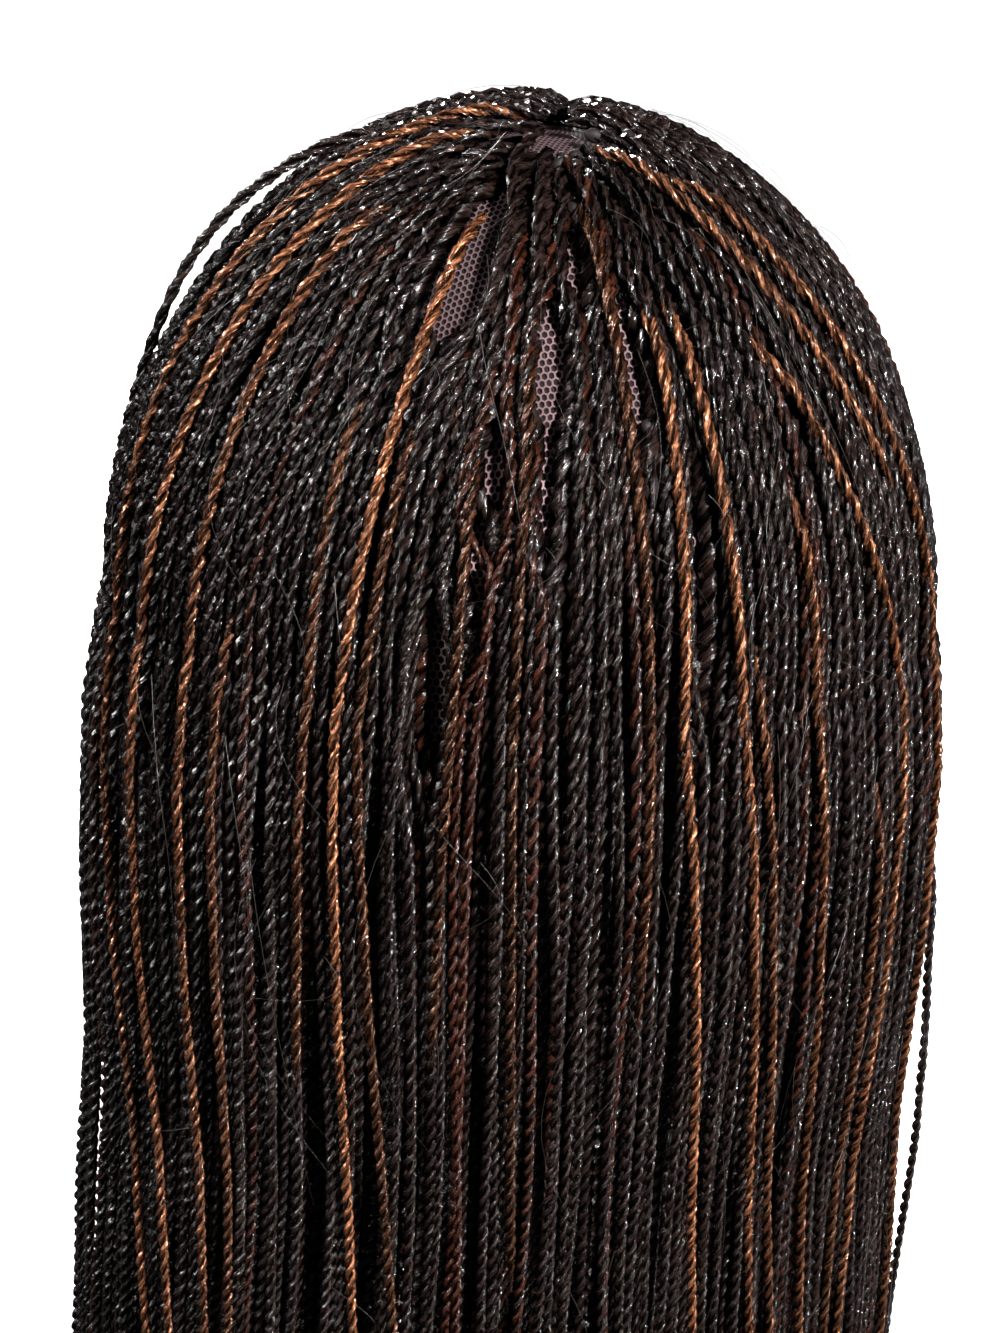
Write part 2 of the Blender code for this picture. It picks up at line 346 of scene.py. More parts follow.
class WigSizes(bpy.types.PropertyGroup):
    """Sizes that a user would change."""

    braid_radius: length_value("Braid radius", "Half a braid's widest width near its root",
                               0.00175)
    tip_scale: share_value("Tip scale", "Share of the radius that is left at the tip", 0.66)
    root_pitch: length_value("Root pitch", "Length of one full twist near the root", 0.0150)
    tip_pitch: length_value("Tip pitch", "Length of one full twist near the tip", 0.0066)
    waist: share_value("Waist", "Share of a strand's width that is left at the groove", 0.26)
    lobe_width: share_value("Lobe width",
                            "Width of each strand across the pair, over its height", 1.12)
    net_thread: length_value("Net thread", "Width of the cap's thread", 0.00038)
    net_detail: IntProperty(
        name="Net detail", description="Subdivisions of the sphere that gives the net's cells",
        default=7)
    stray_hairs: IntProperty(
        name="Stray hairs", description="Number of fibres that stand off the braids",
        default=260)


def fibre_colour(name, description, default):
    """A colour that a user would change."""
    return FloatVectorProperty(name=name, description=description, subtype="COLOR", size=3,
                               default=default)


class WigColours(bpy.types.PropertyGroup):
    """Colours that a user would change."""

    black: fibre_colour("Black", "Darkest fibre of the black braids", (0.0010, 0.0008, 0.0008))
    brown: fibre_colour("Brown", "Lightest fibre of the black braids",
                        (0.0155, 0.0086, 0.0070))
    auburn: fibre_colour("Auburn", "Darkest fibre of the copper braids",
                         (0.036, 0.0095, 0.0046))
    copper: fibre_colour("Copper", "Lightest fibre of the copper braids",
                         (0.50, 0.190, 0.085))
    net: fibre_colour("Net", "Thread of the cap", (0.076, 0.046, 0.049))


def mix(first, second, share):
    """The value at a share of the way from first to second."""
    return first + (second - first) * share


def smooth(share):
    """A share eased in and out."""
    share = np.clip(share, 0.0, 1.0)
    return share * share * (3 - 2 * share)


def grown(dome, by):
    """The dome's sizes offset outwards, by a number or an array."""
    return Dome(*(size + by for size in dome))


# Surfaces of the wig, for arrays of turns and courses

def seam_points(turn):
    """Plan positions of the roots of the braids that hang at these turns."""
    angle = turn / FAN_TURN * math.pi / 2
    forward = np.clip((np.abs(turn) - FAN_TURN) / (LAST_TURN - FAN_TURN), 0, 1)
    middle = mix(WHORL_X, PARTING_FRONT_X, np.sqrt(forward))
    aside = mix(WHORL_RADIUS, PARTING_HALF_WIDTH, np.minimum(1, forward / PARTING_CLOSES))
    behind = np.abs(turn) <= FAN_TURN
    across = np.where(behind, WHORL_X + WHORL_RADIUS * np.sin(angle),
                      middle + np.sign(turn) * aside)
    along = np.where(behind, WHORL_Y + WHORL_RADIUS * np.cos(angle),
                     mix(WHORL_Y, PARTING_FRONT_Y, forward))
    return across, along


def points_over_dome(dome, turn, share):
    """Points on the dome, straight in plan from the seam to where the braid hangs."""
    across, along = seam_points(turn)
    across, along = across / dome.half_width, along / dome.half_length
    reach = np.sin(np.clip(share, 0, 1) * math.pi / 2)
    across = mix(across, np.sin(turn), reach)
    along = mix(along, np.cos(turn), reach)
    drop = 1 - np.sqrt(np.maximum(0, 1 - across ** 2 - along ** 2))
    return np.stack([across * dome.half_width, along * dome.half_length,
                     dome.crown - dome.depth * drop], axis=-1)


def spread_at(height):
    """How far the hanging hair spreads at these heights, as a share of the dome's rim."""
    return np.interp(-height, [-row.height for row in DRAPES], [row.spread for row in DRAPES])


def hung_points(dome, turn, course, width, length, height):
    """Points on the dome, and below it at this width, length and height."""
    hanging = np.stack(np.broadcast_arrays(width * np.sin(turn), length * np.cos(turn),
                                           height), axis=-1)
    return np.where((course > 1)[..., None], hanging, points_over_dome(dome, turn, course))


def over_points(turn, course, lift=0.0, end_z=HAIR_END_Z):
    """Points on the outer face of the hair, lifted off it."""
    turn, course = np.broadcast_arrays(turn, course)
    dome = grown(HAIR_OVER, lift)
    top = dome.crown - dome.depth
    height = top + (end_z - top) * np.maximum(0, course - 1)
    spread = spread_at(height)
    return hung_points(dome, turn, course, dome.half_width * spread,
                       dome.half_length * spread, height)


def under_points(turn, course, lift=0.0, end_z=HAIR_END_Z):
    """Points on the inner face of the hair, lifted off it."""
    turn, course = np.broadcast_arrays(turn, course)
    dome = grown(HAIR_UNDER, lift)
    share = np.maximum(0, course - 1)
    top = dome.crown - dome.depth
    return hung_points(dome, turn, course,
                       mix(dome.half_width, UNDER_END_WIDTH + lift, share),
                       mix(dome.half_length, UNDER_END_LENGTH + lift, share),
                       top + (end_z - top) * share)


def cap_rim_height(angle):
    """Height of the cap's rim at these angles round the head."""
    return mix(CAP_FOREHEAD_Z, CAP_NAPE_Z, (1 + np.cos(angle)) / 2)


def cap_points(angle, bend):
    """Points on the cap's outer face at these angles round and down from the crown."""
    dome = CAP_OUTSIDE
    arc = np.minimum(bend, math.pi / 2)
    drop = np.maximum(0, bend - math.pi / 2) * dome.depth
    reach = np.sin(arc) - CAP_NECK_PINCH * drop * drop
    return np.stack([dome.half_width * reach * np.sin(angle),
                     dome.half_length * reach * np.cos(angle),
                     dome.crown - dome.depth * (1 - np.cos(arc)) - drop], axis=-1)


# Node trees

def feed(tree, made, links):
    """Link or set a node's inputs, by name or number."""
    for key, value in links.items():
        socket = made.inputs[key]
        if isinstance(value, bpy.types.NodeSocket):
            tree.links.new(value, socket)
        else:
            socket.default_value = value


def node(tree, kind, links=None, **settings):
    """A node in the tree. links maps an input's name or number to a socket or a value."""
    made = tree.nodes.new(kind)
    for name, value in settings.items():
        setattr(made, name, value)
    feed(tree, made, links or {})
    return made


def result(tree, kind, links=None, **settings):
    """The first output of a new node in the tree."""
    return node(tree, kind, links, **settings).outputs[0]


def maths(tree, operation, *values):
    """The result of one sum on sockets or numbers."""
    return result(tree, "ShaderNodeMath", dict(enumerate(values)), operation=operation)


def ranged(tree, value, start, end, low=0.0, high=1.0, easing="LINEAR"):
    """The value's range from start to end, laid over low to high."""
    return result(tree, "ShaderNodeMapRange",
                  {"Value": value, "From Min": start, "From Max": end, "To Min": low,
                   "To Max": high}, interpolation_type=easing)


def new_shape_tree(name, sockets):
    """A Geometry Nodes tree with a geometry in, a geometry out and the named inputs."""
    tree = bpy.data.node_groups.new(name, "GeometryNodeTree")
    tree.interface.new_socket("Geometry", in_out="INPUT", socket_type="NodeSocketGeometry")
    for label, kind in sockets:
        tree.interface.new_socket(label, in_out="INPUT", socket_type=kind)
    tree.interface.new_socket("Geometry", in_out="OUTPUT", socket_type="NodeSocketGeometry")
    return tree, tree.nodes.new("NodeGroupInput"), tree.nodes.new("NodeGroupOutput")


def close_tree(tree, geometry, entry, leave):
    """End the tree with real geometry and its material."""
    real = result(tree, "GeometryNodeRealizeInstances", {"Geometry": geometry})
    finish = result(tree, "GeometryNodeSetMaterial",
                    {"Geometry": real, "Material": entry.outputs["Material"]})
    tree.links.new(finish, leave.inputs[0])


def guide_value(tree, name, kind="FLOAT"):
    """What the guide lines carry under this name."""
    return result(tree, "GeometryNodeInputNamedAttribute", {"Name": name}, data_type=kind)


def sweep(tree, entry, leave, lines, profile):
    """End the tree with the profile swept along the lines at their girth."""
    tube = result(tree, "GeometryNodeCurveToMesh",
                  {"Curve": lines, "Profile Curve": profile,
                   "Scale": guide_value(tree, "girth"), "Fill Caps": True})
    soft = result(tree, "GeometryNodeSetShadeSmooth", {"Geometry": tube})
    close_tree(tree, soft, entry, leave)


def braid_tree():
    """Guide lines to two-strand braids. The lines carry girth and twist."""
    tree, entry, leave = new_shape_tree("braid", (
        ("Waist", "NodeSocketFloat"), ("Lobe Width", "NodeSocketFloat"),
        ("Sides", "NodeSocketInt"), ("Material", "NodeSocketMaterial")))
    lines = result(tree, "GeometryNodeMeshToCurve", {0: entry.outputs["Geometry"]})
    turned = result(tree, "GeometryNodeSetCurveTilt",
                    {"Curve": lines, "Tilt": guide_value(tree, "twist")})
    circle = result(tree, "GeometryNodeCurvePrimitiveCircle",
                    {"Resolution": entry.outputs["Sides"], "Radius": 1.0})
    place = result(tree, "GeometryNodeInputPosition")
    marked = result(tree, "GeometryNodeStoreNamedAttribute",
                    {"Geometry": circle, "Name": "around", "Value": place},
                    data_type="FLOAT_VECTOR", domain="POINT")
    parts = node(tree, "ShaderNodeSeparateXYZ", {0: place})
    side = maths(tree, "ABSOLUTE", parts.outputs["Y"])
    lobe = ranged(tree, side, 0.0, 1.0, entry.outputs["Waist"], 1.0)
    drawn = result(tree, "ShaderNodeVectorMath", {0: place, "Scale": lobe},
                   operation="SCALE")
    broad = result(tree, "ShaderNodeCombineXYZ",
                   {"X": entry.outputs["Lobe Width"], "Y": 1.0, "Z": 1.0})
    pressed = result(tree, "ShaderNodeVectorMath",
                     {0: drawn, 1: broad}, operation="MULTIPLY")
    profile = result(tree, "GeometryNodeSetPosition",
                     {"Geometry": marked, "Position": pressed})
    sweep(tree, entry, leave, turned, profile)
    return tree


def fibre_tree():
    """Guide lines to thin three-sided fibres."""
    tree, entry, leave = new_shape_tree("fibre", (("Material", "NodeSocketMaterial"),))
    lines = result(tree, "GeometryNodeMeshToCurve", {0: entry.outputs["Geometry"]})
    circle = result(tree, "GeometryNodeCurvePrimitiveCircle", {"Resolution": 3, "Radius": 1.0})
    sweep(tree, entry, leave, lines, circle)
    return tree


def net_tree():
    """A fine triangle mesh to a hexagon net of flat threads, from its dual's edges."""
    tree, entry, leave = new_shape_tree("net", (
        ("Thread", "NodeSocketFloat"), ("Material", "NodeSocketMaterial")))
    cells = result(tree, "GeometryNodeDualMesh", {0: entry.outputs["Geometry"]})
    normal = result(tree, "GeometryNodeInputNormal")
    marked = result(tree, "GeometryNodeStoreNamedAttribute",
                    {"Geometry": cells, "Name": "outwards",
                     "Value": normal}, data_type="FLOAT_VECTOR", domain="POINT")
    lines = result(tree, "GeometryNodeMeshToCurve", {0: marked})
    outwards = guide_value(tree, "outwards", "FLOAT_VECTOR")
    faced = result(tree, "GeometryNodeSetCurveNormal",
                   {"Curve": lines, "Normal": outwards}, mode="FREE")
    ends = []
    for half in (-0.5, 0.5):
        reach = maths(tree, "MULTIPLY", entry.outputs["Thread"], half)
        ends.append(result(tree, "ShaderNodeCombineXYZ", {"Y": reach}))
    start, end = ends
    thread = result(tree, "GeometryNodeCurvePrimitiveLine",
                    {"Start": start, "End": end})
    ribbon = result(tree, "GeometryNodeCurveToMesh",
                    {"Curve": faced, "Profile Curve": thread})
    close_tree(tree, ribbon, entry, leave)
    return tree


def knot_tree():
    """Points to small root knots, each turned its own way."""
    tree, entry, leave = new_shape_tree("knot", (
        ("Size", "NodeSocketFloat"), ("Material", "NodeSocketMaterial")))
    ball = result(tree, "GeometryNodeMeshIcoSphere",
                  {"Radius": entry.outputs["Size"], "Subdivisions": 2})
    turn = result(tree, "FunctionNodeRandomValue",
                  {"Min": (0, 0, 0), "Max": (math.tau,) * 3, "Seed": SEED},
                  data_type="FLOAT_VECTOR")
    size = result(tree, "FunctionNodeRandomValue",
                  {"Min": KNOT_SHAPE[0], "Max": KNOT_SHAPE[1], "Seed": SEED + 1},
                  data_type="FLOAT_VECTOR")
    copies = result(tree, "GeometryNodeInstanceOnPoints",
                    {"Points": entry.outputs["Geometry"], "Instance": ball,
                     "Rotation": turn, "Scale": size})
    real = result(tree, "GeometryNodeRealizeInstances", {"Geometry": copies})
    soft = result(tree, "GeometryNodeSetShadeSmooth", {"Geometry": real})
    close_tree(tree, soft, entry, leave)
    return tree


def shape_tree(name):
    """The named tree, made once."""
    makers = {"braid": braid_tree, "fibre": fibre_tree, "net": net_tree, "knot": knot_tree}
    return bpy.data.node_groups.get(name) or makers[name]()


def grow_shape(piece_name, guide, tree, values):
    """Run a tree on a guide mesh and keep the result as a plain mesh object."""
    source = bpy.data.objects.new(piece_name + "_guide", guide)
    bpy.context.scene.collection.objects.link(source)
    modifier = source.modifiers.new("shape", "NODES")
    modifier.node_group = tree
    for item in tree.interface.items_tree:
        if item.in_out == "INPUT" and item.name in values:
            modifier[item.identifier] = values[item.name]
    graph = bpy.context.evaluated_depsgraph_get()
    mesh = bpy.data.meshes.new_from_object(
        source.evaluated_get(graph), preserve_all_data_layers=True, depsgraph=graph)
    bpy.data.objects.remove(source, do_unlink=True)
    mesh.name = piece_name
    piece = bpy.data.objects.new(piece_name, mesh)
    bpy.context.scene.collection.objects.link(piece)
    return piece


def grow_braids(piece_name, guide, waist, lobe_width, sides, finish):
    """Braids along the guide lines, in the named finish."""
    return grow_shape(piece_name, guide, shape_tree("braid"),
                      {"Waist": waist, "Lobe Width": lobe_width, "Sides": sides,
                       "Material": material_named(finish)})


# Braid paths

def reversed_bits(number, bits=10):
    """The number's bits the other way round, which spreads an order evenly."""
    return int(format(number, f"0{bits}b")[::-1], 2)


def root_courses(turns, room):
    """Where each outer braid is rooted: as soon as there is room beside the earlier ones."""
    courses = np.linspace(0, 1, ROOT_GRID)
    places = over_points(turns[:, None], courses[None, :])
    starts = np.zeros(len(turns))
    placed = []
    for slot in sorted(range(len(turns)), key=reversed_bits):
        clear = np.ones(ROOT_GRID, bool)
        left = [other for other in placed if other < slot]
        right = [other for other in placed if other > slot]
        for near in ([max(left)] if left else []) + ([min(right)] if right else []):
            apart = np.linalg.norm(places[slot] - places[near], axis=1)
            clear &= apart > room
        blocked = np.nonzero(~clear)[0]
        first = blocked[-1] + 1 if len(blocked) else 0
        starts[slot] = courses[min(first, ROOT_GRID - ROOT_SPARE)]
        placed.append(slot)
    return starts


def wander(rng, count, course, size, waves):
    """Smooth random drift along each braid."""
    drift = np.zeros((count, course.shape[1]))
    for wave in waves:
        phase = rng.uniform(0, math.tau, (count, 1))
        strength = rng.uniform(*WAVE_STRENGTH, (count, 1))
        drift += strength * np.sin(wave * course + phase) / math.sqrt(len(waves))
    return drift * size


def pushed_aside(slot, turn, course):
    """Turns moved out of the places where the net shows bare, each to its slot's side."""
    for bare in BARE_NET:
        half = math.radians(bare.half_turn)
        middle = 0.5 * (bare.first + bare.last)
        reach = 0.5 * (bare.last - bare.first) + BARE_MARGIN
        inside = smooth(BARE_EDGE * (1 - np.abs(course - middle) / reach))
        side = np.where(slot < math.radians(bare.turn), -1, 1)
        offset = side * (turn - math.radians(bare.turn))
        push = np.clip(half - offset, 0, None) * (offset > -half)
        turn = turn + side * push * inside
    return turn


def in_bare_net(turn, course):
    """The course just past the bare place that a root would fall in, or the same course."""
    for bare in (*BARE_NET, WHORL_BARE):
        near = abs(turn - math.radians(bare.turn)) < math.radians(bare.half_turn)
        if near and bare.first - BARE_ROOT_MARGIN < course < bare.last:
            course = bare.last
    return course


def twisted_guides(sizes, places, courses, rings, girths, phases, tones, shades):
    """Guide lines with a point at every equal step of twist, and what the tree reads."""
    steps = np.linalg.norm(np.diff(places, axis=1), axis=2)
    along = np.concatenate([np.zeros((len(places), 1)), np.cumsum(steps, axis=1)], axis=1)
    eased = smooth((courses[:, 1:] - PITCH_EASES_FROM) / PITCH_EASES_OVER)
    pitch = mix(sizes.root_pitch, sizes.tip_pitch, eased)
    pitch = pitch * (1 + PITCH_SPREAD * (shades[:, None] - 0.5))
    turns = np.concatenate([np.zeros((len(places), 1)), np.cumsum(steps / pitch, axis=1)],
                           axis=1)
    columns = {name: [] for name in ("place", "girth", "twist", "along", "tone", "shade")}
    edges = []
    count = 0
    for row in range(len(places)):
        stations = np.linspace(0, turns[row, -1], max(4, int(turns[row, -1] * rings)))
        point = np.stack([np.interp(stations, turns[row], places[row, :, axis])
                          for axis in range(3)], axis=1)
        run = np.interp(stations, turns[row], along[row])
        course = np.interp(stations, turns[row], courses[row])
        girth = girths[row] * mix(1.0, sizes.tip_scale, smooth(course / GIRTH_EASES_OVER))
        girth *= mix(ROOT_THIN, 1.0, smooth(run / ROOT_TAPER))
        girth *= mix(TIP_THIN, 1.0, smooth((run[-1] - run) / TIP_TAPER))
        columns["place"].append(point)
        columns["girth"].append(girth)
        columns["twist"].append(stations * math.tau + phases[row])
        columns["along"].append(run)
        columns["tone"].append(np.full(len(run), tones[row]))
        columns["shade"].append(np.full(len(run), shades[row]))
        ids = count + np.arange(len(run))
        edges.append(np.stack([ids[:-1], ids[1:]], axis=1))
        count += len(run)
    return line_mesh({name: np.concatenate(parts) for name, parts in columns.items()},
                     np.concatenate(edges))


def line_mesh(columns, edges):
    """A mesh of points and edges whose other columns are point attributes."""
    mesh = bpy.data.meshes.new("guide")
    mesh.vertices.add(len(columns["place"]))
    mesh.vertices.foreach_set("co", columns["place"].astype(np.float32).ravel())
    mesh.edges.add(len(edges))
    mesh.edges.foreach_set("vertices", edges.astype(np.int32).ravel())
    for name, values in columns.items():
        if name != "place":
            layer = mesh.attributes.new(name, "FLOAT", "POINT")
            layer.data.foreach_set("value", values.astype(np.float32))
    mesh.update()
    return mesh


def root_sink(layer, turns, starts, course):
    """How deep each point lies, from 0 on the hair's outer face to 1 on its inner face."""
    aside = smooth((np.abs(turns) - BACK_HALF_TURN) / SIDE_EASES_OVER)
    rise = mix(ROOT_RISE_BACK, ROOT_RISE_SIDE, aside)[:, None]
    risen = np.exp(-((course - starts[:, None]) / rise) ** 2)
    depth = mix(1.0, ROOT_DEPTH_SIDE, aside)
    depth = np.where(starts < SEAM_COURSE, np.minimum(depth, ROOT_DEPTH_SEAM), depth)
    return mix(layer.depth, np.maximum(layer.depth, depth[:, None]), risen)[..., None]


def lay_braids(rng, layer, turns, starts, ends, radius, end_z):
    """Places and courses along braids of one layer, from their roots in the net."""
    count = len(turns)
    share = np.linspace(0, 1, PATH_SAMPLES)[None, :]
    course = mix(starts[:, None], ends[:, None], share)
    clump = np.round(turns / CLUMP_TURN) * CLUMP_TURN - turns
    hanging = smooth((course - HANG_FROM) / HANG_OVER)
    inside = np.clip(1 - (turns / LAST_TURN) ** 2, 0, 1) * layer.loose
    stray = rng.uniform(-1, 1, count) * TIP_STRAY
    carried = stray + CLUMP_PULL * clump - DRIFT * np.sin(turns * DRIFT_WAVE + DRIFT_PHASE)
    turn = turns[:, None] + (inside * carried)[:, None] * hanging
    size = TURN_WANDER + LOOSE_WANDER * layer.loose
    turn = turn + wander(rng, count, course, size, TURN_WAVES)
    turn = pushed_aside(turns[:, None], turn, course)
    lift = wander(rng, count, course, LIFT_WANDER, LIFT_WAVES)
    outer = over_points(turn, course, OUTER_LIFT - radius + lift, end_z[:, None])
    inner = under_points(turn, course, UNDER_LIFT + lift * UNDER_WANDER, end_z[:, None])
    return mix(outer, inner, root_sink(layer, turns, starts, course)), course


def planned_layer(rng, layer, room):
    """Turns of all the braids of a layer, and the courses where they start and end."""
    count = layer.per_lock * len(LOCKS)
    slots = np.arange(count) + layer.shift + rng.uniform(-SLOT_STRAY, SLOT_STRAY, count)
    turns = -LAST_TURN + 2 * LAST_TURN * slots / count
    starts = root_courses(turns, room * layer.spacing)
    if layer is not OUTER:
        starts = starts + rng.uniform(*INNER_ROOTS_LATER, count)
    starts = np.array([in_bare_net(turn, start) for turn, start in zip(turns, starts)])
    return turns, starts, 2 - rng.uniform(0.0, TIP_RAGGED, count)


# Materials

def new_material(name):
    """An empty node material with its output and shader."""
    material = bpy.data.materials.new(name)
    material.use_nodes = True
    tree = material.node_tree
    shader = tree.nodes["Principled BSDF"]
    return material, tree, shader


def ramp(tree, value, stops):
    """A colour ramp through (position, colour) stops."""
    made = node(tree, "ShaderNodeValToRGB", {0: value})
    stops = list(stops)
    elements = made.color_ramp.elements
    while len(elements) < len(stops):
        elements.new(0.5)
    for element, (position, colour) in zip(elements, stops):
        element.position = position
        element.color = (*colour, 1.0)
    return made.outputs[0]


def braid_value(tree, name):
    """A number that the braids carry under this name."""
    return node(tree, "ShaderNodeAttribute", attribute_name=name).outputs["Fac"]


def round_the_pair(tree):
    """Where a point lies on the round that the pair of strands is pressed from."""
    around = node(tree, "ShaderNodeAttribute", attribute_name="around")
    return node(tree, "ShaderNodeSeparateXYZ", {0: around.outputs["Vector"]}).outputs


def fibre_noise(tree, grain):
    """Noise drawn out along a braid's strands, from the braid's own attributes."""
    place = round_the_pair(tree)
    wide = maths(tree, "MULTIPLY", place["X"], grain.across)
    high = maths(tree, "MULTIPLY", place["Y"], grain.across)
    far = maths(tree, "MULTIPLY", braid_value(tree, "along"), grain.along)
    apart = maths(tree, "MULTIPLY_ADD", braid_value(tree, "shade"), GRAIN_APART, far)
    where = result(tree, "ShaderNodeCombineXYZ", {0: wide, 1: high, 2: apart})
    noise = node(tree, "ShaderNodeTexNoise",
                 {"Vector": where, "Scale": 1.0, "Detail": grain.detail,
                  "Roughness": GRAIN_ROUGHNESS})
    return noise.outputs["Fac"]


def mixed_colour(tree, share, first, second):
    """Two colours mixed by a share."""
    made = node(tree, "ShaderNodeMix", {"Factor": share}, data_type="RGBA")
    feed(tree, made, {6: first, 7: second})
    return made.outputs[2]


def scaled(tree, colour, value, low, high):
    """The colour dimmed to low where the value is 0 and to high where it is 1."""
    share = ranged(tree, value, 0.0, 1.0, low, high)
    return result(tree, "ShaderNodeVectorMath", {0: colour, "Scale": share}, operation="SCALE")


def toned(colour, factor):
    """The colour made darker or paler by a factor."""
    return tuple(channel * factor for channel in colour)


def fibre_finish(tree, shader, colour, fine):
    """Painted shade in the groove between the strands, darker and duller there; glints on some
    fibres, and fibre relief.
    """
    far = maths(tree, "ABSOLUTE", round_the_pair(tree)["Y"])
    # Painted shade: colour and specular level scaled down in the groove
    groove = ranged(tree, far, GROOVE_FROM, GROOVE_TO, easing="SMOOTHSTEP")
    colour = scaled(tree, colour, groove, GROOVE_PAINTED_SHADE, 1.0)
    sheen = scaled(tree, ramp(tree, fine, SHEEN_STOPS), groove, GROOVE_SHADE_SHEEN, 1.0)
    roughness = ramp(tree, fine, ROUGHNESS_STOPS)
    bump = result(tree, "ShaderNodeBump",
                  {"Height": fine, "Strength": 1.0, "Distance": FIBRE_RELIEF})
    feed(tree, shader, {"Base Color": colour, "Specular IOR Level": sheen,
                        "Roughness": roughness, "Normal": bump})


def black_material(name, dark, light, auburn):
    """Black fibre; about an eighth of the braids carry auburn fibre, most on one strand."""
    material, tree, shader = new_material(name)
    fine = fibre_noise(tree, BLACK_FINE)
    broad = fibre_noise(tree, BLACK_BROAD)
    tone = braid_value(tree, "tone")
    rich = ranged(tree, tone, *AUBURN_TONE)
    second_strand = ranged(tree, tone, *BOTH_STRANDS_TONE, *SECOND_STRAND)
    side = ranged(tree, round_the_pair(tree)["Y"], -STRAND_BORDER, STRAND_BORDER,
                  second_strand, FIRST_STRAND)
    over = maths(tree, "ADD", broad, ranged(tree, rich, 0.0, 1.0, PLAIN_BRAID, side))
    tint = ramp(tree, over, AUBURN_STOPS)
    body = ramp(tree, fine, zip(BLACK_FIBRES, (dark, light)))
    warm = ramp(tree, fine, zip(AUBURN_FIBRES, (toned(auburn, DIM_AUBURN), auburn)))
    fibre_finish(tree, shader, mixed_colour(tree, tint, body, warm), fine)
    return material


def copper_material(name, dark, light, black):
    """Copper fibre from auburn to gold, dimmer on some braids and in places on each."""
    material, tree, shader = new_material(name)
    fine = fibre_noise(tree, COPPER_FINE)
    broad = fibre_noise(tree, COPPER_BROAD)
    shades = (dark, toned(light, HALF_COPPER), light)
    body = ramp(tree, fine, zip(COPPER_FIBRES, shades))
    body = scaled(tree, body, ranged(tree, broad, *COPPER_PATCHES), PATCH_DIMMED, 1.0)
    body = scaled(tree, body, braid_value(tree, "tone"), BRAID_DIMMED, 1.0)
    streaks = ramp(tree, broad, STREAK_STOPS)
    fibre_finish(tree, shader, mixed_colour(tree, streaks, body, (*black, 1.0)), fine)
    shader.inputs["Metallic"].default_value = COPPER_METALLIC
    return material


def net_material(name, colour):
    """Matt thread whose tone varies over the cap, with painted light that makes it paler lower
    down.
    """
    material, tree, shader = new_material(name)
    place = node(tree, "ShaderNodeTexCoord").outputs["Object"]
    patches = node(tree, "ShaderNodeTexNoise", {"Vector": place, "Scale": NET_PATCH_SCALE,
                                                "Detail": NET_PATCH_DETAIL})
    shades = ramp(tree, patches.outputs["Fac"],
                  zip(NET_PATCHES, (toned(colour, factor) for factor in NET_PATCH_SHADES)))
    height = node(tree, "ShaderNodeSeparateXYZ", {0: place}).outputs["Z"]
    # Painted light: the thread is made paler lower down on the cap
    low = ranged(tree, height, NET_PAINTED_LIGHT_FULL_Z, NET_PAINTED_LIGHT_FROM_Z, 1.0, 0.0)
    feed(tree, shader, {"Base Color": scaled(tree, shades, low, 1.0, NET_PAINTED_LIGHT),
                        "Roughness": NET_ROUGHNESS, "Specular IOR Level": NET_SPECULAR})
    return material


def plain_material(name, colour, roughness, specular):
    """One colour all over."""
    material, tree, shader = new_material(name)
    feed(tree, shader, {"Base Color": (*colour, 1.0), "Roughness": roughness,
                        "Specular IOR Level": specular})
    return material


def material_named(name):
    """A finish of the wig, made once."""
    made = bpy.data.materials.get(name)
    if made:
        return made
    colours = bpy.context.scene.wig_colours
    black, brown = tuple(colours.black), tuple(colours.brown)
    auburn, copper = tuple(colours.auburn), tuple(colours.copper)
    makers = {
        "black_braid_fibre": lambda: black_material(name, black, brown, auburn),
        "copper_braid_fibre": lambda: copper_material(name, auburn, copper, black),
        "net_thread": lambda: net_material(name, tuple(colours.net)),
        "knot_fibre": lambda: plain_material(name, *KNOT_FINISH),
        "stray_fibre": lambda: plain_material(name, *STRAY_FINISH),
        # The shell under the net is painted shade
        "cap_shade_shell": lambda: plain_material(name, *SHADE_SHELL_FINISH),
    }
    return makers[name]()


# Operators

class WIG_OT_net_cap(bpy.types.Operator):
    """Make the cap's hexagon net and its bound rim"""

    bl_idname = "wig.net_cap"
    bl_label = "Net cap"

    def execute(self, context):
        sizes = context.scene.wig_sizes
        threads = grow_shape("threads", net_guide(sizes.net_detail), shape_tree("net"),
                             {"Thread": sizes.net_thread,
                              "Material": material_named("net_thread")})
        # The shell under the net is painted shade
        net = joined([threads, cap_shade_shell(), cap_rim()], "hexagon_net")
        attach(net, "root")
        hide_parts("net_cap")
        return {"FINISHED"}


def net_guide(detail):
    """A fine triangle mesh over the part of the cap where the net can show."""
    mesh = bmesh.new()
    bmesh.ops.create_icosphere(mesh, subdivisions=detail, radius=1.0)
    guide = bpy.data.meshes.new("net_guide")
    mesh.to_mesh(guide)
    unit = np.empty(len(guide.vertices) * 3, np.float32)
    guide.vertices.foreach_get("co", unit)
    unit = unit.reshape(-1, 3).astype(float)
    angle = np.arctan2(unit[:, 0], unit[:, 1])
    bend = np.arccos(np.clip(unit[:, 2], -1, 1))
    places = cap_points(angle, np.minimum(bend, NET_LIMIT))
    covered = (np.abs(angle) > COVERED_FROM) & (np.abs(angle) < COVERED_TO)
    covered &= bend > COVERED_BEND
    keep = (places[:, 2] > cap_rim_height(angle)) & (bend < NET_LIMIT) & ~covered
    mesh.verts.ensure_lookup_table()
    for vertex, place in zip(mesh.verts, places):
        vertex.co = place
    gone = [mesh.verts[index] for index in np.nonzero(~keep)[0]]
    bmesh.ops.delete(mesh, geom=gone, context="VERTS")
    mesh.to_mesh(guide)
    mesh.free()
    return guide


